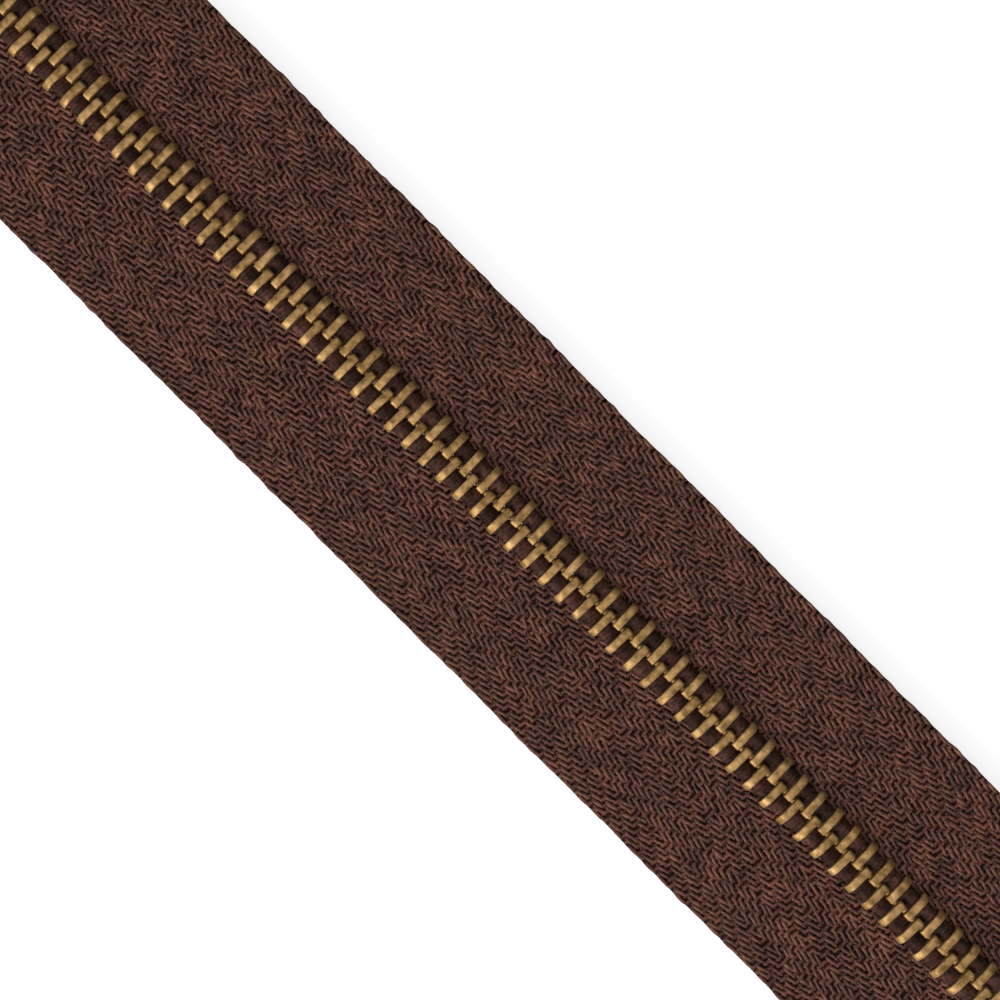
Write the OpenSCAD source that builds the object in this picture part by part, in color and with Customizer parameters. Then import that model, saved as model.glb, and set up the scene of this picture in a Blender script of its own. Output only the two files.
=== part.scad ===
// Closed-end metal zipper, slider at the top, chain closed.
// +X runs along the chain towards the top stops, +Y is the left tape, +Z is the slider's face.
// The origin is below the middle of the zipper, on the surface that it lies on.

/* [Chain] */
// Spacing of the teeth on one tape
pitch = 2.54; // [2.48:0.02:2.6]
// Number of teeth on each tape
teeth_per_side = 80; // [40:1:120]
// Thickness of one tooth along the chain
tooth_t = 0.92; // [0.86:0.02:0.94]
// Height of one tooth through the tape
tooth_h = 2.4; // [2.3:0.05:2.4]

/* [Tape] */
// Width of one tape, from the chain's middle to its outer edge
tape_w = 16; // [13:0.5:20]
// Tape left below the bottom stop
tail_bottom = 20; // [10:1:40]
// Tape left above the bend over the top stops
tail_top = 19; // [10:1:40]
// Thickness of the tape beside the bead
tape_t = 0.66; // [0.56:0.02:0.7]
// Thickness of the tape where it is sewn
sewing_t = 0.56; // [0.4:0.02:0.56]

/* [Slider] */
// Thickness of the slider's two plates
plate_t = 1.05; // [0.9:0.05:1.2]
// Length of the pull tab from its pivot to its end
pull_len = 32; // [26:1:36]
// Thickness of the pull tab
pull_t = 1.4; // [1.2:0.1:1.5]
// Radius of the hole in the pull tab
pull_hole_r = 1.4; // [1:0.1:1.5]

/* [Hidden] */
$fn = 48;
eps = 0.02;

// Tooth and bead, measured from the bead's centre
cord_y = 1.6;            // bead centre from the chain's middle
cord_r = 0.82;
grip_r = 0.85;           // the tooth's hole for the bead
head_reach = 0.5;        // how far a head passes the chain's middle
leg_r = tooth_h / 2;
leg_shift = 0.1;
head_corner_r = 0.3;
nib_r = [0.46, 0.26];    // at the nib's root and its end
nib_out = 0.45;          // how far the nib stands out of the tooth
dimple_r = [0.34, 0.5];  // at the hollow's floor and its rim
dimple_in = 0.22;
nib_y = 0.05 - cord_y;

// Stops
stop_half_h = 1.3;
bottom_stop_len = 3.2;
bottom_stop_half_w = 3.1;
stop_gap = 0.8;          // between a stop and the nearest tooth's middle
top_stop_len = 2.8;

// Slider, measured from its tail along the chain
slider_len = 11.95;
tail_half_w = 3.95;
mouth_half_w = 5.45;
channel_half_h = tooth_h / 2 + 0.12;
slot_half_h = 0.45;      // half the gap that the tape passes through
lock_s = 3.3;            // middle of the lock pawl's tip
pivot_s = 6;             // pull tab's pivot
pivot_up = 0.85;         // pivot above the upper plate
bend_s = 3.5;            // where the two rows start to part
upper_plate_t = plate_t + 0.05;

// Heights
chain_z = plate_t + channel_half_h;
deck_z = chain_z + channel_half_h + upper_plate_t;

// Places along the chain, from the tape's bottom end
first_tooth = tail_bottom + bottom_stop_len + stop_gap;
tail_at = first_tooth + (teeth_per_side - 3.5) * pitch - lock_s;
foot_teeth = 2;          // left teeth below the split, one fewer on the right
split_at = first_tooth + (foot_teeth - 0.75) * pitch;
last_tooth = first_tooth + (teeth_per_side - 0.5) * pitch;

// Line of the left bead: straight, bent out by part_a, straight, bent back
part_a = 14;
bend_r1 = 12.9;
bend_r2 = 16;
slant_len = 9.75;
t1 = tail_at + bend_s;
t2 = t1 + bend_r1 * part_a * PI / 180;
t3 = t2 + slant_len;
t4 = t3 + bend_r2 * part_a * PI / 180;
t5 = t4 + tail_top;
x2 = t1 + bend_r1 * sin(part_a);
y2 = cord_y + bend_r1 * (1 - cos(part_a));
x3 = x2 + slant_len * cos(part_a);
y3 = y2 + slant_len * sin(part_a);
x4 = x3 + bend_r2 * sin(part_a);
y4 = y3 + bend_r2 * (1 - cos(part_a));
total_len = x4 + tail_top;
bend_steps = 6;

// [x, y, heading] of the left bead's centre at the length t along it
function bead_at(t) =
    t <= t1 ? [t, cord_y, 0] :
    t <= t2 ? let (a = (t - t1) / bend_r1 * 180 / PI)
        [t1 + bend_r1 * sin(a), cord_y + bend_r1 * (1 - cos(a)), a] :
    t <= t3 ? [x2 + (t - t2) * cos(part_a), y2 + (t - t2) * sin(part_a), part_a] :
    t <= t4 ? let (a = part_a - (t - t3) / bend_r2 * 180 / PI)
        [x3 + bend_r2 * (sin(part_a) - sin(a)), y3 + bend_r2 * (cos(a) - cos(part_a)), a] :
    [x4 + t - t4, y4, 0];

// How far the tape's outer edge is pushed out at the length x
spread_from = t1 - 14;
spread_to = x4 + 6;
function smooth(u) = let (v = min(1, max(0, u))) v * v * (3 - 2 * v);
function spread(x) = (y4 - cord_y) * smooth((x - spread_from) / (spread_to - spread_from));

// Lengths at which the bead's line is sampled between a and b
function stations(a, b) = concat(
    [a],
    [for (i = [0:bend_steps]) let (t = t1 + (t2 - t1) * i / bend_steps) if (t > a && t < b) t],
    [for (i = [0:bend_steps]) let (t = t3 + (t4 - t3) * i / bend_steps) if (t > a && t < b) t],
    [b]);
function edge_stations(a, b) = concat(
    [a],
    [for (i = [0:16]) let (x = spread_from + (spread_to - spread_from) * i / 16) if (x > a && x < b) x],
    [b]);
function backwards(v) = [for (i = [len(v) - 1:-1:0]) v[i]];
function arc(c, r, a0, a1, n = 8) = [for (i = [0:n]) let (a = a0 + (a1 - a0) * i / n) c + r * [cos(a), sin(a)]];
function mirrored(v) = concat(v, [for (p = backwards(v)) [p.x, -p.y]]);

// ---- placing ----
module in_place() {
    translate([-total_len / 2, 0, chain_z]) children();
}

module on_side(right) {
    if (right) mirror([0, 1, 0]) children();
    else children();
}

module on_bead(t) {
    p = bead_at(t);
    translate([p.x, p.y, 0]) rotate(p[2]) children();
}

// Stands a profile drawn across the chain up, and runs it along the chain
module along_chain(len) {
    translate([-len / 2, 0, 0]) rotate([90, 0, 90]) linear_extrude(len) children();
}

// ---- tapes and beads ----
bead_edge = 0.8;         // the tape starts this far out from the bead's centre
sewing_y = 6.2;          // the sewn part starts here

function tape_edge(t) = let (p = bead_at(t)) [p.x - bead_edge * sin(p[2]), p.y + bead_edge * cos(p[2])];
function sewing_edge(t, y) = let (p = bead_at(t)) [p.x, p.y - cord_y + y];
function to_x(t) = bead_at(t).x;

module tape(a, b) {
    ts = stations(a, b);
    inner = [for (t = ts) tape_edge(t)];
    step = [for (t = ts) sewing_edge(t, sewing_y)];
    lap = [for (t = ts) sewing_edge(t, sewing_y - 0.3)];
    outer = [for (x = edge_stations(to_x(a), to_x(b))) [x, tape_w + spread(x)]];
    translate([0, 0, -tape_t / 2]) linear_extrude(tape_t) polygon(concat(inner, backwards(step)));
    translate([0, 0, -sewing_t / 2]) linear_extrude(sewing_t) polygon(concat(lap, backwards(outer)));
}

cord_sides = 12;
module bead_cord(a, b) {
    ts = stations(a, b);
    rings = len(ts);
    points = [for (t = ts, j = [0:cord_sides - 1])
        let (p = bead_at(t), f = 360 * (j + 0.5) / cord_sides, out = cord_r * cos(f))
        [p.x - out * sin(p[2]), p.y + out * cos(p[2]), cord_r * sin(f)]];
    sides = [for (i = [0:rings - 2], j = [0:cord_sides - 1]) let (k = (j + 1) % cord_sides)
        [i * cord_sides + j, (i + 1) * cord_sides + j, (i + 1) * cord_sides + k, i * cord_sides + k]];
    caps = [[for (j = [0:cord_sides - 1]) j],
            [for (j = [cord_sides - 1:-1:0]) (rings - 1) * cord_sides + j]];
    polyhedron(points = points, faces = concat(sides, caps));
}

// ---- teeth ----
module bead_grip() {
    circle(r = grip_r);
    translate([0, -tape_t / 2 - eps]) square([4, tape_t + 2 * eps]);
}

module tooth_profile() {
    tip = -cord_y - head_reach;
    core = tooth_h / 2 - head_corner_r;
    difference() {
        union() {
            translate([leg_shift, 0]) circle(r = leg_r);
            translate([tip + head_corner_r, -tooth_h / 2]) square([leg_shift - tip - head_corner_r, tooth_h]);
            translate([tip, -core]) square([1, 2 * core]);
            for (z = [-core, core]) translate([tip + head_corner_r, z]) circle(r = head_corner_r);
        }
        bead_grip();
    }
}

module tooth() {
    difference() {
        union() {
            along_chain(tooth_t) tooth_profile();
            translate([tooth_t / 2 - 0.1, nib_y, 0]) rotate([0, 90, 0]) cylinder(r = nib_r[0], h = 0.2);
            translate([tooth_t / 2 + 0.1, nib_y, 0]) rotate([0, 90, 0])
                cylinder(r1 = nib_r[0], r2 = nib_r[1], h = nib_out - 0.1);
        }
        translate([dimple_in - tooth_t / 2, nib_y, 0]) rotate([0, -90, 0])
            cylinder(r1 = dimple_r[0], r2 = dimple_r[1], h = dimple_in + 0.1);
    }
}

module teeth(first, last, shift) {
    for (k = [first:last]) on_bead(first_tooth + (k + shift) * pitch) tooth();
}

// ---- stops ----
module top_stop() {
    on_bead(last_tooth + stop_gap + 1 + top_stop_len / 2) along_chain(top_stop_len)
        difference() {
            union() {
                translate([leg_shift, 0]) circle(r = stop_half_h);
                translate([-1.05, -stop_half_h + 0.25]) square([1.1, 2 * stop_half_h - 0.5]);
                translate([-0.8, -stop_half_h]) square([0.9, 2 * stop_half_h]);
                for (z = [-1, 1]) translate([-0.8, z * (stop_half_h - 0.25)]) circle(r = 0.25);
            }
            bead_grip();
        }
}

module bottom_stop() {
    flat_w = bottom_stop_half_w - stop_half_h;
    translate([tail_bottom + bottom_stop_len / 2, 0, 0]) along_chain(bottom_stop_len)
        difference() {
            union() {
                translate([-flat_w, -stop_half_h]) square([2 * flat_w, 2 * stop_half_h]);
                for (y = [-1, 1]) translate([y * flat_w, 0]) circle(r = stop_half_h);
            }
            for (m = [0, 1]) mirror([m, 0]) translate([cord_y, 0]) bead_grip();
        }
}

// ---- slider ----
module at_slider() {
    translate([tail_at, 0, 0]) children();
}

slider_side = concat(
    [[0, 0]],
    arc([1.3, tail_half_w - 1.3], 1.3, 180, 90),
    [[5, tail_half_w]],
    arc([slider_len - 1.2, mouth_half_w - 1.2], 1.2, 104, 0),
    [[slider_len, 2.4], [slider_len - 0.35, 1.5], [slider_len - 0.35, 0]]);
channel_side = [[-1, 3.25], [0, 3.15], [bend_s, 3.05], [5.25, 3.15], [7, 3.5], [13, 5]];
wedge_side = concat([[8.95, 0]], arc([9.2, 0], 0.25, 165, 105, 3),
    [[11.2, 0.86], [slider_len - 0.35, 0.86], [slider_len - 0.35, 0]]);
hole_s = [2.6, 4];
hole_y = [0.45, 1.3];

module plate(z, t) {
    translate([0, 0, z]) linear_extrude(t) polygon(mirrored(slider_side));
}

module flange(z) {
    translate([0, 0, z]) linear_extrude(channel_half_h - slot_half_h + eps) difference() {
        polygon(mirrored(slider_side));
        polygon(mirrored(channel_side));
    }
}

module slider_body() {
    at_slider() difference() {
        union() {
            plate(-channel_half_h - plate_t, plate_t);
            plate(channel_half_h, upper_plate_t);
            flange(-channel_half_h - eps);
            flange(slot_half_h);
            translate([0, 0, -channel_half_h - eps]) linear_extrude(2 * (channel_half_h + eps))
                polygon(mirrored(wedge_side));
        }
        translate([hole_s[0], hole_y[0], slot_half_h]) cube([hole_s[1] - hole_s[0], hole_y[1] - hole_y[0], 3]);
    }
}

// Everything above the upper plate is measured from the plate's top
module on_deck() {
    at_slider() translate([0, 0, deck_z - chain_z]) children();
}

cap_s = [1.9, 10.3];
cap_half_w = 1.9;
cap_wall = 0.5;
cap_h = 3.2;
cap_round = 1.4;

// Long section of the cap, drawn in s and height
module cap_section(inset) {
    a = cap_s[0] + inset;
    b = cap_s[1] - inset;
    top = cap_h - inset;
    r = cap_round - inset;
    translate([a, -inset]) square([b - a, top - r + inset]);
    translate([a + r, 0]) square([b - a - 2 * r, top]);
    for (s = [a + r, b - r]) translate([s, top - r]) circle(r = r);
}

module across(half_w) {
    translate([0, half_w, 0]) rotate([90, 0, 0]) linear_extrude(2 * half_w) children();
}

pawl_hinge_s = 9.2;
pawl_hinge_up = 0.65;
pawl_pin_r = 0.35;
pawl_under = 1.42;
pawl_t = 0.43;

module slider_cap() {
    window_r = 0.8;
    on_deck() difference() {
        across(cap_half_w) cap_section(0);
        across(cap_half_w - cap_wall) cap_section(cap_wall);
        across(3) {
            translate([pivot_s, pivot_up]) circle(r = window_r);
            translate([pivot_s - window_r, -1]) square([2 * window_r, 1 + pivot_up]);
            translate([pawl_hinge_s, pawl_hinge_up]) circle(r = pawl_pin_r + 0.05);
        }
    }
}

module lock_pawl() {
    tip_half = 0.4;
    on_deck() {
        translate([lock_s - tip_half, -0.8, pawl_under]) cube([pawl_hinge_s - lock_s + tip_half + 0.25, 1.95, pawl_t]);
        translate([lock_s - tip_half, 0.6, 0.8 - channel_half_h - upper_plate_t])
            cube([2 * tip_half, 0.55, pawl_under + channel_half_h + upper_plate_t - 0.7]);
        translate([pawl_hinge_s - 0.25, -0.8, pawl_hinge_up]) cube([0.5, 1.95, pawl_under - pawl_hinge_up + 0.1]);
        translate([pawl_hinge_s, cap_half_w - 0.1, pawl_hinge_up]) rotate([90, 0, 0])
            cylinder(r = pawl_pin_r, h = 2 * cap_half_w - 0.2);
    }
}

module lock_spring() {
    spring_t = 0.15;
    roof = cap_h - cap_wall;
    rest_gap = 0.02;
    on_deck() {
        translate([4, -0.75, roof - spring_t]) cube([4.8, 1.5, spring_t]);
        translate([4, -0.75, pawl_under + pawl_t + rest_gap])
            cube([spring_t, 1.5, roof - pawl_under - pawl_t - rest_gap]);
    }
}

// ---- pull tab, drawn from its pivot outwards ----
arm_in = 2.05;
arm_out = 3.2;
window_end = 5;
cam_r = 0.55;
cam_off = 0.25;
pull_side = concat(
    [[0, arm_out], [5.2, arm_out]],
    arc([7.4, 4.9], 2.4, -142, -90, 6),
    [[12, 2.6], [22, 3.05]],
    arc([pull_len - 3.2, 0], 3.2, 84, 0, 12));

module pull_plan() {
    difference() {
        polygon(mirrored(pull_side));
        translate([-1, -arm_in]) square([window_end + 1, 2 * arm_in]);
        translate([pull_len - 4.2, 0]) circle(r = pull_hole_r);
    }
}

module pull_panel() {
    translate([12, -1.5]) square([9, 3]);
    for (u = [12, 21]) translate([u, 0]) circle(r = 1.5);
}

module pull_tab() {
    on_deck() translate([pivot_s, 0, pivot_up]) mirror([1, 0, 0]) {
        difference() {
            translate([0, 0, -pull_t / 2]) linear_extrude(pull_t) pull_plan();
            for (z = [pull_t / 2 - 0.2, -pull_t / 2 - 0.8]) translate([0, 0, z]) linear_extrude(1) pull_panel();
        }
        for (y = [arm_in, -arm_out]) translate([0, y + arm_out - arm_in, 0]) rotate([90, 0, 0])
            cylinder(r = pull_t / 2, h = arm_out - arm_in);
        translate([0, arm_in + eps, 0]) rotate([90, 0, 0]) cylinder(r = 0.45, h = 2 * (arm_in + eps));
        translate([0, 1.2, -cam_off]) rotate([90, 0, 0]) cylinder(r = cam_r, h = 2.4);
    }
}

// ---- nodes ----
BROWN = [0.24, 0.15, 0.12];
DARK_BROWN = [0.16, 0.10, 0.08];
BRASS = [0.75, 0.58, 0.32];
AGED_BRASS = [0.62, 0.48, 0.27];
STEEL = [0.7, 0.7, 0.72];

color(BROWN) in_place() tape(split_at, t5);  // left_tape
color(BROWN) in_place() on_side(true) tape(split_at, t5);  // right_tape
color(BROWN) in_place() tape(0, split_at);  // left_tape_foot
color(BROWN) in_place() on_side(true) tape(0, split_at);  // right_tape_foot
color(DARK_BROWN) in_place() bead_cord(split_at, t5);  // left_bead_cord
color(DARK_BROWN) in_place() on_side(true) bead_cord(split_at, t5);  // right_bead_cord
color(DARK_BROWN) in_place() bead_cord(0, split_at);  // left_bead_cord_foot
color(DARK_BROWN) in_place() on_side(true) bead_cord(0, split_at);  // right_bead_cord_foot
color(BRASS) in_place() teeth(foot_teeth, teeth_per_side - 1, 0);  // left_teeth
color(BRASS) in_place() on_side(true) teeth(foot_teeth - 1, teeth_per_side - 1, 0.5);  // right_teeth
color(BRASS) in_place() teeth(0, foot_teeth - 1, 0);  // left_teeth_foot
color(BRASS) in_place() on_side(true) teeth(0, foot_teeth - 2, 0.5);  // right_teeth_foot
color(BRASS) in_place() top_stop();  // left_top_stop
color(BRASS) in_place() on_side(true) top_stop();  // right_top_stop
color(BRASS) in_place() bottom_stop();
color(AGED_BRASS) in_place() slider_body();
color(AGED_BRASS) in_place() slider_cap();
color(STEEL) in_place() lock_pawl();
color(STEEL) in_place() lock_spring();
color(AGED_BRASS) in_place() pull_tab();
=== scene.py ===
"""Closed-end brass zipper on a brown herringbone tape.

The last section is in metres.
"""
import math
import bpy
import numpy as np
from mathutils import Matrix, Vector


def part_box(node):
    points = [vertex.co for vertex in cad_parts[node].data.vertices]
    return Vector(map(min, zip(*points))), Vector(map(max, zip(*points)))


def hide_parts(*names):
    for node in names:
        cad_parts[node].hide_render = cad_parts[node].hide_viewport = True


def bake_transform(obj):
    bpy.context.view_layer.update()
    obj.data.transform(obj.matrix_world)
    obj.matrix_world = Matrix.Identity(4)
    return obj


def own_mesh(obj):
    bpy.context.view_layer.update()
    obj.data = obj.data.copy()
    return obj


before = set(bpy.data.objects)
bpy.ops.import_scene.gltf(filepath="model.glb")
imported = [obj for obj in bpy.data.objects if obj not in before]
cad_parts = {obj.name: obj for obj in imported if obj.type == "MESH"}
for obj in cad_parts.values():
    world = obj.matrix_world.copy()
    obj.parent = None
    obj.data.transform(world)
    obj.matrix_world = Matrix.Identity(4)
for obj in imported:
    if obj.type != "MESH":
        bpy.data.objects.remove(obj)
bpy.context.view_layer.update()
rng = np.random.default_rng(7)

MM = 0.001


def box_mm(node):
    low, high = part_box(node)
    return np.array(low) / MM, np.array(high) / MM


# ---- the chain's plan, as the CAD has it ----
PITCH = 2.54
TOOTH_T = 0.92
CORD_Y = 1.6
CORD_R = 0.82
HEAD_REACH = 0.5
LEG_R = 1.2
LEG_SHIFT = 0.1
GRIP_R = 0.85
CLOTH_GAP = 0.6
TAPE_IN = CORD_Y + CLOTH_GAP
SEWING_Y = 6.2
BEAD_LOW, BEAD_HIGH = box_mm("left_bead_cord_foot")
CHAIN_Z = (BEAD_LOW[2] + BEAD_HIGH[2]) / 2
FOOT_LOW, FOOT_HIGH = box_mm("left_tape_foot")
START_X = FOOT_LOW[0]
TAPE_W = FOOT_HIGH[1]
TAIL_X = box_mm("slider_body")[0][0]

# Each bead's S-bend beside the slider: straight to T1, an arc to T2, a slant to T3, an arc back to T4, and
# straight to T_END. T is the length along the bead, and X and Y are the place there.
BEND_S = 3.5
PART = math.radians(14)
BEND_R1 = 12.9
BEND_R2 = 16.0
SLANT = 9.75
TAIL_TOP = 19.0

T1 = TAIL_X + BEND_S
T2 = T1 + BEND_R1 * PART
T3 = T2 + SLANT
T4 = T3 + BEND_R2 * PART
T_END = T4 + TAIL_TOP
X2 = T1 + BEND_R1 * math.sin(PART)
Y2 = CORD_Y + BEND_R1 * (1 - math.cos(PART))
X3 = X2 + SLANT * math.cos(PART)
Y3 = Y2 + SLANT * math.sin(PART)
X4 = X3 + BEND_R2 * math.sin(PART)
Y4 = Y3 + BEND_R2 * (1 - math.cos(PART))

# The tape's outer edge spreads over a longer stretch than the bead.
SPREAD_BEFORE = 14
SPREAD_AFTER = 6
SPREAD_FROM = T1 - SPREAD_BEFORE
SPREAD_TO = X4 + SPREAD_AFTER


def bead_at(t):
    """x, y and heading of the left bead's centre at the length t along it."""
    t = np.asarray(t, float)
    a = np.clip((t - T1) / BEND_R1, 0, PART)
    b = PART - np.clip((t - T3) / BEND_R2, 0, PART)
    x = np.where(t <= T1, t, T1 + BEND_R1 * np.sin(a))
    y = np.where(t <= T1, CORD_Y, CORD_Y + BEND_R1 * (1 - np.cos(a)))
    on_slant = np.clip(t - T2, 0, SLANT)
    x = x + on_slant * math.cos(PART)
    y = y + on_slant * math.sin(PART)
    x = np.where(t > T3, X3 + BEND_R2 * (math.sin(PART) - np.sin(b)), x)
    y = np.where(t > T3, Y3 + BEND_R2 * (np.cos(b) - math.cos(PART)), y)
    x = x + np.clip(t - T4, 0, None)
    heading = np.where(t <= T3, a, b)
    return x, y, heading


def tape_shift(t, v):
    """x at the length t, and how far the point at v on the straight tape is pushed out there."""
    x, y, _ = bead_at(t)
    u = np.clip((x - SPREAD_FROM) / (SPREAD_TO - SPREAD_FROM), 0, 1)
    outer = (Y4 - CORD_Y) * u * u * (3 - 2 * u)
    w = np.clip((v - SEWING_Y) / (TAPE_W - SEWING_Y), 0, 1)
    return x, (y - CORD_Y) * (1 - w) + outer * w


# ---- materials ----
# How noise is squeezed along x, y and z: features are longest where the number is smallest.
EVEN = (1, 1, 1)
FIBRES_ALONG = (0.18, 1, 1)
FIBRES_ACROSS = (1, 0.18, 1)
SCRATCHES = (1, 0.12, 0.5)
GRAIN = (0.1, 1, 1)
NOISE_MIDDLE = (0.3, 0.7)


def material(name, **sockets):
    mat = bpy.data.materials.new(name)
    mat.use_nodes = True
    shader = mat.node_tree.nodes["Principled BSDF"]
    for key, value in sockets.items():
        shader.inputs[key.replace("_", " ")].default_value = value
    return mat, mat.node_tree.nodes, mat.node_tree.links, shader


def srgb(r, g, b):
    """Linear RGBA of an sRGB colour given as 0 to 255."""
    def linear(c):
        c /= 255
        return c / 12.92 if c <= 0.04045 else ((c + 0.055) / 1.055) ** 2.4
    return (linear(r), linear(g), linear(b), 1)


def noise(nodes, links, stretch, scale, detail=3.0):
    """Noise in object space, squeezed by stretch along each axis. scale is features per millimetre."""
    coords = nodes.new("ShaderNodeTexCoord")
    mapping = nodes.new("ShaderNodeMapping")
    mapping.inputs["Scale"].default_value = stretch
    tex = nodes.new("ShaderNodeTexNoise")
    tex.inputs["Scale"].default_value = scale / MM
    tex.inputs["Detail"].default_value = detail
    links.new(coords.outputs["Object"], mapping.inputs["Vector"])
    links.new(mapping.outputs["Vector"], tex.inputs["Vector"])
    return tex.outputs["Fac"]


def ramp(nodes, links, fac, stops):
    node = nodes.new("ShaderNodeValToRGB")
    elements = node.color_ramp.elements
    while len(elements) < len(stops):
        elements.new(0.5)
    for element, (place, colour) in zip(elements, stops):
        element.position = place
        element.color = colour
    links.new(fac, node.inputs["Fac"])
    return node.outputs["Color"]


def multiply(nodes, links, a, b):
    node = nodes.new("ShaderNodeMix")
    node.data_type = "RGBA"
    node.blend_type = "MULTIPLY"
    node.inputs["Factor"].default_value = 1.0
    links.new(a, node.inputs["A"])
    links.new(b, node.inputs["B"])
    return node.outputs["Result"]


def bump(nodes, links, shader, height, distance, strength):
    node = nodes.new("ShaderNodeBump")
    node.inputs["Strength"].default_value = strength
    node.inputs["Distance"].default_value = distance * MM
    links.new(height, node.inputs["Height"])
    links.new(node.outputs["Normal"], shader.inputs["Normal"])


def remap(nodes, links, fac, low, high):
    """Spreads the middle of a noise's values over low to high."""
    node = nodes.new("ShaderNodeMapRange")
    node.inputs["From Min"].default_value = NOISE_MIDDLE[0]
    node.inputs["From Max"].default_value = NOISE_MIDDLE[1]
    node.inputs["To Min"].default_value = low
    node.inputs["To Max"].default_value = high
    links.new(fac, node.inputs["Value"])
    return node.outputs["Result"]


FLECKS = ((0.3, (0.48, 0.42, 0.42, 1)), (0.5, (1, 1, 1, 1)), (0.72, (1.6, 1.55, 1.6, 1)))
SHEEN_TINT = srgb(190, 140, 115)


def yarn_material(name, dark, mid, light, along, gloss=0.3, sheen=0.06):
    """Polyester yarn: patchy brown, with fibres running along the tape, or across it if along is False."""
    mat, nodes, links, shader = material(
        name, Sheen_Weight=sheen, Sheen_Roughness=0.4, Specular_IOR_Level=gloss)
    shader.inputs["Sheen Tint"].default_value = SHEEN_TINT
    patches = noise(nodes, links, EVEN, scale=0.35)
    browns = ramp(nodes, links, patches, ((0.35, dark), (0.5, mid), (0.66, light)))
    flecks = ramp(nodes, links, noise(nodes, links, EVEN, scale=2.2, detail=1), FLECKS)
    links.new(multiply(nodes, links, browns, flecks), shader.inputs["Base Color"])
    fibres = noise(nodes, links, FIBRES_ALONG if along else FIBRES_ACROSS, scale=14, detail=2)
    links.new(remap(nodes, links, fibres, low=0.5, high=0.8), shader.inputs["Roughness"])
    bump(nodes, links, shader, fibres, distance=0.02, strength=0.6)
    return mat


def brass_material(name, dull, mid, bright, rough, patch=0.9):
    """Brass with faint tarnish, patch features per millimetre, and fine drawn scratches."""
    mat, nodes, links, shader = material(name, Metallic=1.0)
    tarnish = noise(nodes, links, EVEN, scale=patch, detail=5)
    golds = ramp(nodes, links, tarnish, ((0.32, dull), (0.5, mid), (0.7, bright)))
    links.new(golds, shader.inputs["Base Color"])
    scratches = noise(nodes, links, SCRATCHES, scale=18)
    links.new(remap(nodes, links, scratches, *rough), shader.inputs["Roughness"])
    bump(nodes, links, shader, scratches, distance=0.006, strength=0.5)
    return mat


def steel_material(name):
    mat, nodes, links, shader = material(name, Metallic=1.0)
    grain = noise(nodes, links, GRAIN, scale=20)
    greys = ((0.3, (0.34, 0.34, 0.35, 1)), (0.7, (0.52, 0.52, 0.53, 1)))
    links.new(ramp(nodes, links, grain, greys), shader.inputs["Base Color"])
    links.new(remap(nodes, links, grain, low=0.25, high=0.45), shader.inputs["Roughness"])
    return mat


WARP = yarn_material("tape_warp_yarn", srgb(68, 38, 27), srgb(79, 45, 33), srgb(92, 55, 42), along=True)
WEFT = yarn_material("tape_weft_yarn", srgb(65, 35, 25), srgb(75, 42, 31), srgb(87, 51, 38), along=False)
# Near-black sheet under the yarns: painted shade for the deep gaps between them.
SHADE_SHEET = yarn_material("tape_shade_sheet", srgb(26, 8, 4), srgb(32, 11, 6), srgb(38, 15, 9), along=False,
                       gloss=0.05, sheen=0.0)
# The bead's wrapping yarn: the tape's brown made darker, as painted shade between the teeth.
SHADED_COVER = yarn_material("bead_cover_yarn_painted_shade", srgb(36, 19, 13), srgb(51, 29, 22), srgb(70, 44, 36), along=False,
                      gloss=0.12, sheen=0.0)
TEETH_BRASS = brass_material("teeth_brass", srgb(120, 93, 54), srgb(162, 129, 82), srgb(196, 160, 112),
                             rough=(0.56, 0.74), patch=1.3)
STOP_BRASS = brass_material("stop_brass", srgb(120, 92, 55), srgb(150, 119, 75), srgb(174, 143, 97),
                            rough=(0.38, 0.56))
SLIDER_BRASS = brass_material("slider_brass", srgb(132, 102, 61), srgb(148, 117, 73), srgb(164, 133, 88),
                              rough=(0.32, 0.48), patch=0.3)
STEEL = steel_material("lock_steel")


# ---- meshes from arrays ----
def piece(name, points, faces, mat, sizes=None):
    """A smooth-shaded object. faces is an array of quads, or a flat loop list with its face sizes."""
    if sizes is None:
        sizes = np.full(len(faces), 4)
    loops = np.asarray(faces, np.int32).ravel()
    mesh = bpy.data.meshes.new(name)
    mesh.vertices.add(len(points))
    mesh.vertices.foreach_set("co", (np.asarray(points) * MM).astype(np.float32).ravel())
    mesh.loops.add(len(loops))
    mesh.loops.foreach_set("vertex_index", loops)
    mesh.polygons.add(len(sizes))
    mesh.polygons.foreach_set("loop_start", np.concatenate([[0], np.cumsum(sizes)[:-1]]).astype(np.int32))
    mesh.polygons.foreach_set("use_smooth", np.ones(len(sizes), bool))
    mesh.update(calc_edges=True)
    mesh.materials.append(mat)
    obj = bpy.data.objects.new(name, mesh)
    bpy.context.scene.collection.objects.link(obj)
    return obj


def ring_faces(tubes, rings, sides, flip):
    """Quads of closed tubes, whose vertices run by tube, then ring, then side. sides is even."""
    j = np.arange(sides)
    k = (j + 1) % sides
    i = np.arange(rings - 1)[:, None] * sides
    walls = np.stack([i + j, i + k, i + sides + k, i + sides + j], -1).reshape(-1, 4)
    h = np.arange(sides // 2 - 1)
    cap = np.stack([h, h + 1, sides - 2 - h, sides - 1 - h], -1)
    one = np.concatenate([walls, cap[:, ::-1], cap + (rings - 1) * sides])
    if flip:
        one = one[:, ::-1]
    return (np.arange(tubes)[:, None, None] * rings * sides + one).reshape(-1, 4)


# Size, and radians per millimetre, of the slow and the quick wobble of the tape's outer edge.
SLOW_WOBBLE = (0.04, 0.31)
QUICK_WOBBLE = (0.02, 0.83)


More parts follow.
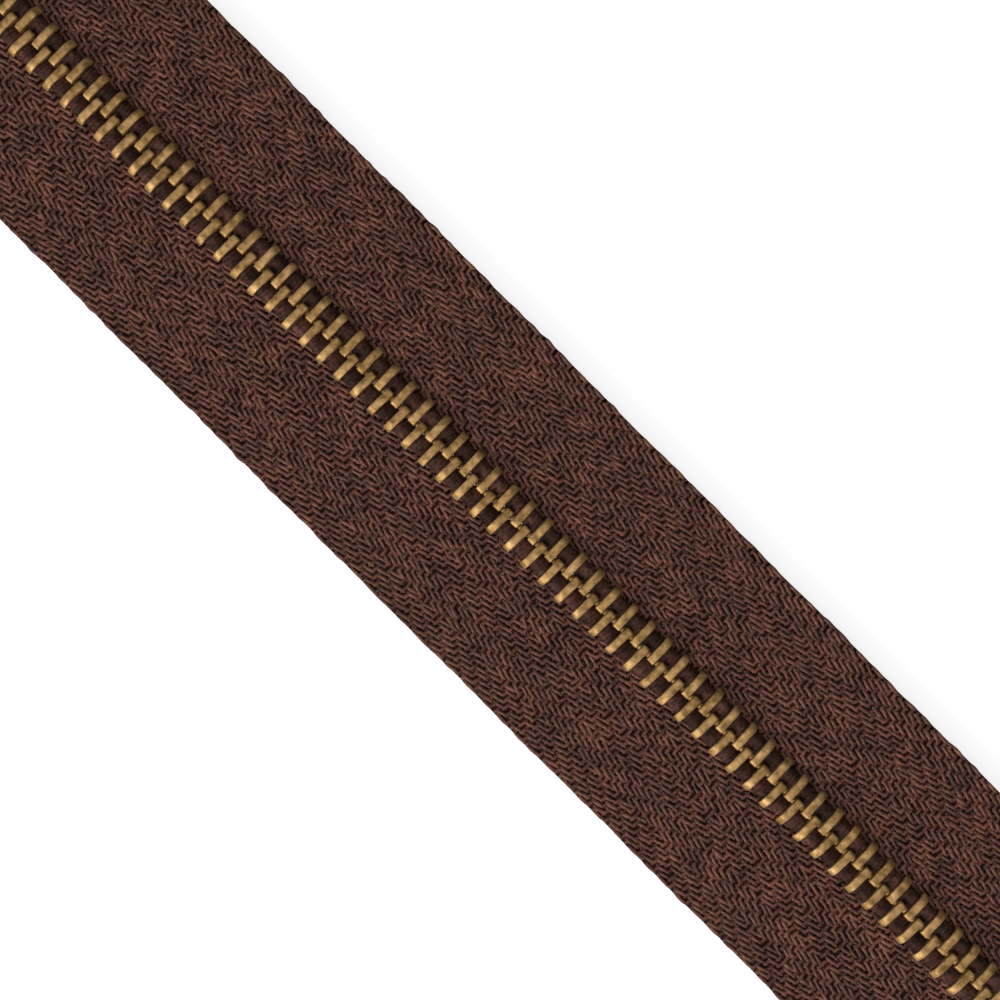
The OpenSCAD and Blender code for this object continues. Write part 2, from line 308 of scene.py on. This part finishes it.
def to_frame(t, v, z, side):
    """A tape point at the length t and width v, on the left (1) or right (-1) tape."""
    x, shift = tape_shift(t, v)
    loose = np.clip((v - TAPE_IN) / (TAPE_W - TAPE_IN), 0, 1)
    slow = SLOW_WOBBLE[0] * np.sin(t * SLOW_WOBBLE[1] + side)
    quick = QUICK_WOBBLE[0] * np.sin(t * QUICK_WOBBLE[1] + 2 * side)
    return np.stack(np.broadcast_arrays(x, side * (v + shift + loose * (slow + quick)), z + CHAIN_Z), -1)


# ---- tape ----
PICK = 0.61
END_PITCH = 0.42
SELVAGE = 0.06
ZONE_EDGES = (TAPE_IN + SELVAGE, 4.45, 7.15, 9.85, 12.6, TAPE_W - SELVAGE)
HALF_REPEAT = 2  # picks
TURN_PER_PICK = math.pi / 2
FLOAT_FLATNESS = 1.2

# Half width and half height of each yarn, how far it rises and falls, and how far it tilts within the tape.
WARP_HALF = (0.215, 0.12)
WARP_WAVE = 0.115
WARP_TILT = 0.125
LAST_END_TILT = 0.2  # share of WARP_TILT for the outermost end
WARP_WIDENING = 0.06  # share of the width, on the front
WEFT_HALF = (0.215, 0.1)
WEFT_WAVE = 0.115
WEFT_TILT = 0.07
WEFT_PAST = (0.24, 0.16)  # how far it runs past the innermost and the outermost end

# Each yarn's random wander: the distance between its knots, and its size. WARP_SLIP's size is in picks, and
# that of the two plumps is a share of the yarn's thickness.
WARP_SLIP = (2.0, 0.2)
WARP_SWAY = (1.1, 0.04)
WARP_LIFT = (1.3, 0.018)
WARP_PLUMP = (0.9, 0.13)
WEFT_LIFT = (0.9, 0.028)
WEFT_PLUMP = (0.8, 0.1)
WEFT_SWAY = (1.0, 0.045)

YARN_SIDES = 6
YARN_ANGLE = 2 * math.pi * (np.arange(YARN_SIDES) + 0.5) / YARN_SIDES
YARN_SECTION = (np.cos(YARN_ANGLE), np.sin(YARN_ANGLE) / math.cos(math.pi / YARN_SIDES))

CLOTH_HALF = 0.05
CLOTH_ENDS = 0.15
CLOTH_EDGE = 0.1
CLOTH_RINGS = 160
CLOTH_COLUMNS = 12


def zone_ends():
    """(zone, place) of each warp end, counted outwards."""
    ends = []
    for zone, (a, b) in enumerate(zip(ZONE_EDGES, ZONE_EDGES[1:])):
        n = round((b - a) / END_PITCH)
        step = (b - a) / n
        ends += [(zone, a + step * (i + 0.5)) for i in range(n)]
    return ends


ENDS = zone_ends()


def twill_steps():
    """Each end's step along the weave's repeat of four picks, which turns back at each zone."""
    steps, step = [], 0
    for zone, _ in ENDS:
        steps.append(step)
        step += -1 if zone % 2 else 1
    return np.array(steps, float)


def wander(rows, t, spread):
    """Smooth random offsets along each of several yarns. spread is the knots' distance and the size."""
    spacing, size = spread
    knots = np.arange(t.min() - spacing, t.max() + 2 * spacing, spacing)
    values = rng.normal(0, size, (rows, len(knots)))
    return np.stack([np.interp(t, knots, v) for v in values])


def weave(phase):
    """Height of a warp end: 1 over the pick, -1 under it, with flattened floats."""
    s = np.sin(phase)
    return s / np.sqrt(s * s + FLOAT_FLATNESS) * math.sqrt(1 + FLOAT_FLATNESS)


def warp_pieces(side, name):
    """The warp yarns, one piece for each zone. Neighbouring floats lean apart."""
    rings = int((T_END - START_X) / PICK * 2)
    t = np.linspace(START_X, T_END, rings)
    steps = twill_steps()
    pieces = []
    for zone in range(len(ZONE_EDGES) - 1):
        rows = [i for i, end in enumerate(ENDS) if end[0] == zone]
        v0 = np.array([ENDS[i][1] for i in rows])[:, None]
        n = len(rows)
        phase = TURN_PER_PICK * (t[None, :] / PICK + steps[rows][:, None] + wander(n, t, WARP_SLIP))
        apart = WARP_TILT * (1 if zone % 2 else -1) * np.where(v0 >= ENDS[-1][1], LAST_END_TILT, 1)
        middle = v0 + (apart * np.cos(phase) + wander(n, t, WARP_SWAY))
        height = WARP_WAVE * weave(phase) + wander(n, t, WARP_LIFT)
        thick = 1 + wander(n, t, WARP_PLUMP)
        width = WARP_HALF[0] * thick * (1 + WARP_WIDENING * weave(phase))
        v = middle[..., None] + width[..., None] * YARN_SECTION[0]
        z = height[..., None] + (WARP_HALF[1] * thick)[..., None] * YARN_SECTION[1]
        points = to_frame(t[None, :, None], v, z, side).reshape(-1, 3)
        faces = ring_faces(n, rings, YARN_SIDES, side > 0)
        pieces.append(piece(f"{name}_warp_{zone + 1}", points, faces, WARP))
    return pieces


def weft_piece(side, name):
    """The weft yarns, which pass each end on the other face and run a little past the outermost ends."""
    picks = np.arange(math.ceil(START_X / PICK) + 1, math.floor(T_END / PICK))[:, None]
    steps = twill_steps()
    steps = np.concatenate([[steps[0] + HALF_REPEAT], steps, [steps[-1] + HALF_REPEAT]])
    places = np.array([place for _, place in ENDS])
    v = np.concatenate([[places[0] - WEFT_PAST[0]], places, [places[-1] + WEFT_PAST[1]]])
    n = len(picks)
    phase = TURN_PER_PICK * (picks + steps[None, :])
    height = -WEFT_WAVE * weave(phase) + wander(n, v, WEFT_LIFT)
    thick = (1 + wander(n, v, WEFT_PLUMP))[..., None]
    middle = picks * PICK + WEFT_TILT * np.cos(phase) + wander(n, v, WEFT_SWAY)
    t = middle[..., None] + WEFT_HALF[0] * thick * YARN_SECTION[0]
    z = height[..., None] + WEFT_HALF[1] * thick * YARN_SECTION[1]
    points = to_frame(t, v[None, :, None], z, side).reshape(-1, 3)
    return piece(f"{name}_weft", points, ring_faces(n, len(v), YARN_SIDES, side < 0), WEFT)


def shade_sheet_piece(side, name):
    """The thin closed sheet between the yarns, near-black as painted shade for the gaps between them."""
    t = np.linspace(START_X + CLOTH_ENDS, T_END - CLOTH_ENDS, CLOTH_RINGS)
    v = np.linspace(TAPE_IN, TAPE_W - CLOTH_EDGE, CLOTH_COLUMNS)
    loop_v = np.concatenate([v, v[::-1]])
    loop_z = np.repeat([-CLOTH_HALF, CLOTH_HALF], CLOTH_COLUMNS)
    points = to_frame(t[:, None], loop_v[None, :], loop_z[None, :], side).reshape(-1, 3)
    return piece(name, points, ring_faces(1, CLOTH_RINGS, 2 * CLOTH_COLUMNS, side > 0), SHADE_SHEET)


# ---- bead ----
BELOW_TEETH = 24.0
FIRST_TOOTH = START_X + BELOW_TEETH
BEAD_SIDES = 16
WRAP = 0.5
RINGS_PER_WRAP = 6
WRAP_DEPTH = 0.2
WRAP_ROUNDNESS = 0.75
WRAP_SLANT = 0.5
WRAP_DRIFT = (0.3, 0.37)  # size in radians, and radians per millimetre
SWELL = 0.08
SWELL_SHARPNESS = 1.5
LUMP = (0.02, 0.9, 3)  # size, radians per millimetre, and lumps around the cord
BEAD_REACH = 1.27
REACH_RELIEF = 0.2


def row_shift(side):
    """How far along the side's teeth are set, in pitches."""
    return 0 if side > 0 else 0.5


def bead_piece(side, name):
    """The cord in the tape's edge, with the yarn wrapped over it, which swells between the teeth.

    Where the chain is closed, its inner side reaches in to the heads of the other row.
    """
    rings = int((T_END - START_X) / WRAP * RINGS_PER_WRAP)
    t = np.linspace(START_X, T_END, rings)[:, None]
    angle = 2 * math.pi * np.arange(BEAD_SIDES)[None, :] / BEAD_SIDES
    drift = WRAP_DRIFT[0] * np.sin(t * WRAP_DRIFT[1])
    wrap = np.abs(np.cos(math.pi * t / WRAP + angle * WRAP_SLANT + drift)) ** WRAP_ROUNDNESS
    between = 0.5 - 0.5 * np.cos(2 * math.pi * (t - FIRST_TOOTH - row_shift(side) * PITCH) / PITCH)
    lumps = LUMP[0] * np.sin(t * LUMP[1] + LUMP[2] * angle)
    r = CORD_R - WRAP_DEPTH + WRAP_DEPTH * wrap + SWELL * between ** SWELL_SHARPNESS + lumps
    closed = np.clip((T1 - t) / BEND_S, 0, 1) * np.clip(-np.cos(angle), 0, 1)
    reach = BEAD_REACH + REACH_RELIEF * (r - CORD_R)
    out = np.cos(angle) * (r + closed * (reach - r))
    x, y, a = bead_at(t)
    points = np.stack([x - out * np.sin(a), side * (y + out * np.cos(a)), CHAIN_Z + r * np.sin(angle)], -1)
    return piece(name, points.reshape(-1, 3), ring_faces(1, rings, BEAD_SIDES, side > 0), SHADED_COVER)


# ---- teeth ----
TEETH = 80
TOOTH_CORNER = 0.32
LEG_GAP = 0.35
EDGE_ROUND = ((0, 0.11), (0.03, 0.035), (0.1, 0))  # depth below the tooth's face, inset of the outline there
NIB_Y = 0.05 - CORD_Y
NIB_SIDES = 14
NIB = ((-0.2, 0.46), (0, 0.45), (0.15, 0.42), (0.3, 0.35), (0.4, 0.24), (0.44, 0.1))  # height, radius
HOLLOW = ((-0.1, 0.54), (0, 0.5), (0.12, 0.44), (0.2, 0.3), (0.22, 0.1))  # depth in the other face, radius
LEAN = math.tan(math.radians(1.2))
TURN_SPREAD = 0.5  # degrees
PLACE_SPREAD = 0.012
HEIGHT_SPREAD = 0.008
SHARP_ANGLE = math.radians(50)
LEG_POINTS = 8
CORNER_POINTS = 4
GRIP_POINTS = 12


def arc(centre, radius, start, stop, n):
    """n points (y, z) from the angle start to stop, in degrees."""
    angle = np.radians(np.linspace(start, stop, n))
    return np.stack([centre[0] + radius * np.cos(angle), centre[1] + radius * np.sin(angle)], -1)


def tooth_outline(inset):
    """The tooth across the chain, as y from the bead's centre and z, with its edge drawn in by inset."""
    tip = -CORD_Y - HEAD_REACH
    gap = LEG_GAP + inset
    leg = LEG_R - inset
    grip = GRIP_R + inset / 2
    leg_end = math.degrees(math.asin(gap / leg))
    grip_end = math.degrees(math.asin(gap / grip))
    core = LEG_R - TOOTH_CORNER
    return np.concatenate([
        arc((LEG_SHIFT, 0), leg, leg_end, 90, LEG_POINTS),
        arc((tip + TOOTH_CORNER, core), TOOTH_CORNER - inset, 90, 180, CORNER_POINTS),
        arc((tip + TOOTH_CORNER, -core), TOOTH_CORNER - inset, 180, 270, CORNER_POINTS),
        arc((LEG_SHIFT, 0), leg, -90, -leg_end, LEG_POINTS),
        arc((0, 0), grip, -grip_end, grip_end - 360, GRIP_POINTS)])


def loft(outlines, places):
    """Closed mesh through outlines (y, z) set at places along x, with flat ends."""
    n = len(outlines[0])
    points = np.concatenate([np.column_stack([np.full(n, x), o]) for x, o in zip(places, outlines)])
    faces = []
    for i in range(len(places) - 1):
        for j in range(n):
            k = (j + 1) % n
            faces.append((i * n + j, i * n + k, (i + 1) * n + k, (i + 1) * n + j))
    faces.append(tuple(reversed(range(n))))
    faces.append(tuple(range((len(places) - 1) * n, len(places) * n)))
    return points, faces


def lathe(profile, start):
    """Closed mesh of (x from start, radius) turned about the nib's axis, which runs along x."""
    rings = [arc((NIB_Y, 0), r, 0, 360 - 360 / NIB_SIDES, NIB_SIDES) for _, r in profile]
    return loft(rings, [start + x for x, _ in profile])


def scratch_object(points, faces):
    mesh = bpy.data.meshes.new("scratch")
    mesh.from_pydata([tuple(p) for p in points], [], faces)
    mesh.update()
    obj = bpy.data.objects.new("scratch", mesh)
    bpy.context.scene.collection.objects.link(obj)
    return obj


def tooth_template():
    """One tooth with its nib and its hollow: points, loops and face sizes."""
    half = TOOTH_T / 2
    levels = [(-half + depth, inset) for depth, inset in EDGE_ROUND]
    levels += [(half - depth, inset) for depth, inset in reversed(EDGE_ROUND)]
    tooth = scratch_object(*loft([tooth_outline(inset) for _, inset in levels], [x for x, _ in levels]))
    nib = scratch_object(*lathe(NIB, half))
    hollow = scratch_object(*lathe(HOLLOW, -half))
    for other, operation in ((nib, "UNION"), (hollow, "DIFFERENCE")):
        modifier = tooth.modifiers.new(operation, "BOOLEAN")
        modifier.operation = operation
        modifier.solver = "EXACT"
        modifier.object = other
    bpy.context.view_layer.update()
    mesh = bpy.data.meshes.new_from_object(tooth.evaluated_get(bpy.context.evaluated_depsgraph_get()))
    points = np.array([v.co[:] for v in mesh.vertices])
    loops = np.array([l.vertex_index for l in mesh.loops])
    sizes = np.array([p.loop_total for p in mesh.polygons])
    for obj in (tooth, nib, hollow):
        bpy.data.objects.remove(obj)
    bpy.data.meshes.remove(mesh)
    return points, loops, sizes


TEMPLATE = tooth_template()


def reversed_faces(loops, sizes):
    starts = np.concatenate([[0], np.cumsum(sizes)[:-1]])
    return np.concatenate([loops[s:s + n][::-1] for s, n in zip(starts, sizes)])


def teeth_piece(side, name):
    """One side's row of teeth, each a little out of place."""
    points, loops, sizes = TEMPLATE
    teeth = []
    for k in range(TEETH):
        x, y, a = bead_at(FIRST_TOOTH + (k + row_shift(side)) * PITCH)
        a = a + math.radians(rng.normal(0, TURN_SPREAD))
        p = points.copy()
        p[:, 0] += LEAN * (p[:, 1] + CORD_Y) + rng.normal(0, PLACE_SPREAD)
        p[:, 1] += rng.normal(0, PLACE_SPREAD)
        teeth.append(np.stack([x + p[:, 0] * np.cos(a) - p[:, 1] * np.sin(a),
                               side * (y + p[:, 0] * np.sin(a) + p[:, 1] * np.cos(a)),
                               CHAIN_Z + p[:, 2] + rng.normal(0, HEIGHT_SPREAD)], -1))
    all_loops = np.concatenate([loops + k * len(points) for k in range(TEETH)])
    all_sizes = np.tile(sizes, TEETH)
    if side < 0:
        all_loops = reversed_faces(all_loops, all_sizes)
    obj = piece(name, np.concatenate(teeth), all_loops, TEETH_BRASS, all_sizes)
    obj.data.set_sharp_from_angle(angle=SHARP_ANGLE)
    return obj


def put(obj, wing, *nodes):
    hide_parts(*nodes)
    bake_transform(obj)


for side, word in ((1, "left"), (-1, "right")):
    wing = f"{word}_wing"
    tape_nodes = (f"{word}_tape", f"{word}_tape_foot")
    shade_sheet = shade_sheet_piece(side, f"{word}_tape_shade_cloth")
    yarns = warp_pieces(side, f"{word}_tape") + [weft_piece(side, f"{word}_tape")]
    for obj in [shade_sheet] + yarns:
        put(obj, wing, *tape_nodes)
    put(bead_piece(side, f"{word}_bead"), wing, f"{word}_bead_cord", f"{word}_bead_cord_foot")
    put(teeth_piece(side, f"{word}_teeth_row"), wing, f"{word}_teeth", f"{word}_teeth_foot")


# ---- hardware carried over from the CAD ----
HARDWARE = (  # node, material, radius of its edges
    ("slider_body", SLIDER_BRASS, 0.22),
    ("slider_cap", SLIDER_BRASS, 0.15),
    ("pull_tab", SLIDER_BRASS, 0.15),
    ("lock_pawl", STEEL, 0.05),
    ("lock_spring", STEEL, 0.03),
    ("left_top_stop", STOP_BRASS, 0.12),
    ("right_top_stop", STOP_BRASS, 0.12),
    ("bottom_stop", STOP_BRASS, 0.15))
WELD_DISTANCE = 0.002
FLAT_ANGLE = math.radians(2)
EDGE_ANGLE = math.radians(35)
EDGE_SEGMENTS = 3


def dress(node, mat, round_edge):
    """Gives a CAD node its material and rounds its sharp edges."""
    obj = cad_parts[node]
    obj.data.materials.clear()
    obj.data.materials.append(mat)
    weld = obj.modifiers.new("weld", "WELD")
    weld.merge_threshold = WELD_DISTANCE * MM
    flat = obj.modifiers.new("flat", "DECIMATE")
    flat.decimate_type = "DISSOLVE"
    flat.angle_limit = FLAT_ANGLE
    bevel = obj.modifiers.new("round", "BEVEL")
    bevel.width = round_edge * MM
    bevel.segments = EDGE_SEGMENTS
    bevel.limit_method = "ANGLE"
    bevel.angle_limit = EDGE_ANGLE
    bevel.harden_normals = True


for node, mat, round_edge in HARDWARE:
    dress(node, mat, round_edge)

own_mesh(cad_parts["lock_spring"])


# ---- floor, lights and camera, in metres ----
FLOOR_HALF = 4.0
FLOOR_DROP = 0.00005
FLOOR_PATCH = 0.002  # features per millimetre
FLOOR_GREYS = ((0.3, (0.53, 0.53, 0.53, 1)), (0.7, (0.57, 0.57, 0.57, 1)))
WORLD_STRENGTH = 0.2
LENS = 75.0  # millimetres, as is SENSOR
SENSOR = 36.0
VIEW_WIDTH = 105.5 * MM
CAMERA_TOOTH = 33.62  # the tooth under the picture's middle, counted from the bottom
CAMERA_Y = -0.45 * MM
CLIP_START = 0.01


def stage_floor():
    mat, nodes, links, shader = material("floor", Roughness=0.9, Emission_Strength=0.7)
    shader.inputs["Emission Color"].default_value = (1, 1, 1, 1)
    patches = noise(nodes, links, EVEN, FLOOR_PATCH)
    links.new(ramp(nodes, links, patches, FLOOR_GREYS), shader.inputs["Base Color"])
    corners = [(FLOOR_HALF * x, FLOOR_HALF * y, -FLOOR_DROP) for x, y in ((-1, -1), (1, -1), (1, 1), (-1, 1))]
    mesh = bpy.data.meshes.new("floor")
    mesh.from_pydata(corners, [], [(0, 1, 2, 3)])
    mesh.materials.append(mat)
    floor = bpy.data.objects.new("floor", mesh)
    bpy.context.scene.collection.objects.link(floor)


def softbox(name, place, size, watts):
    """A rectangular light at place, turned towards the zipper's middle."""
    light = bpy.data.lights.new(name, "AREA")
    light.shape = "RECTANGLE"
    light.size, light.size_y = size
    light.energy = watts
    obj = bpy.data.objects.new(name, light)
    obj.location = place
    obj.rotation_euler = (-Vector(place)).to_track_quat("-Z", "Y").to_euler()
    bpy.context.scene.collection.objects.link(obj)


def set_world():
    world = bpy.data.worlds.new("studio")
    world.use_nodes = True
    background = world.node_tree.nodes["Background"]
    background.inputs["Color"].default_value = (1, 1, 1, 1)
    background.inputs["Strength"].default_value = WORLD_STRENGTH
    bpy.context.scene.world = world


def set_camera():
    """Looks straight down, with the chain running from the picture's top left to its bottom right."""
    camera = bpy.data.objects.new("camera", bpy.data.cameras.new("camera"))
    camera.data.lens = LENS
    camera.data.sensor_width = SENSOR
    camera.data.clip_start = CLIP_START
    right = Vector((-1, -1, 0)).normalized()
    up = Vector((1, -1, 0)).normalized()
    back = Vector((0, 0, 1))
    place = ((FIRST_TOOTH + CAMERA_TOOTH * PITCH) * MM, CAMERA_Y, CHAIN_Z * MM + VIEW_WIDTH * LENS / SENSOR)
    camera.matrix_world = Matrix.Translation(place) @ Matrix((right, up, back)).transposed().to_4x4()
    bpy.context.scene.collection.objects.link(camera)
    bpy.context.scene.camera = camera


stage_floor()
softbox("key", place=(-0.05, 0.62, 0.38), size=(0.9, 0.45), watts=9.0)
softbox("top", place=(-0.05, 0.1, 0.9), size=(0.8, 0.8), watts=2.6)
softbox("fill", place=(0.1, -0.6, 0.5), size=(0.7, 0.5), watts=0.5)
set_world()
set_camera()
bpy.context.scene.view_settings.view_transform = "Standard"
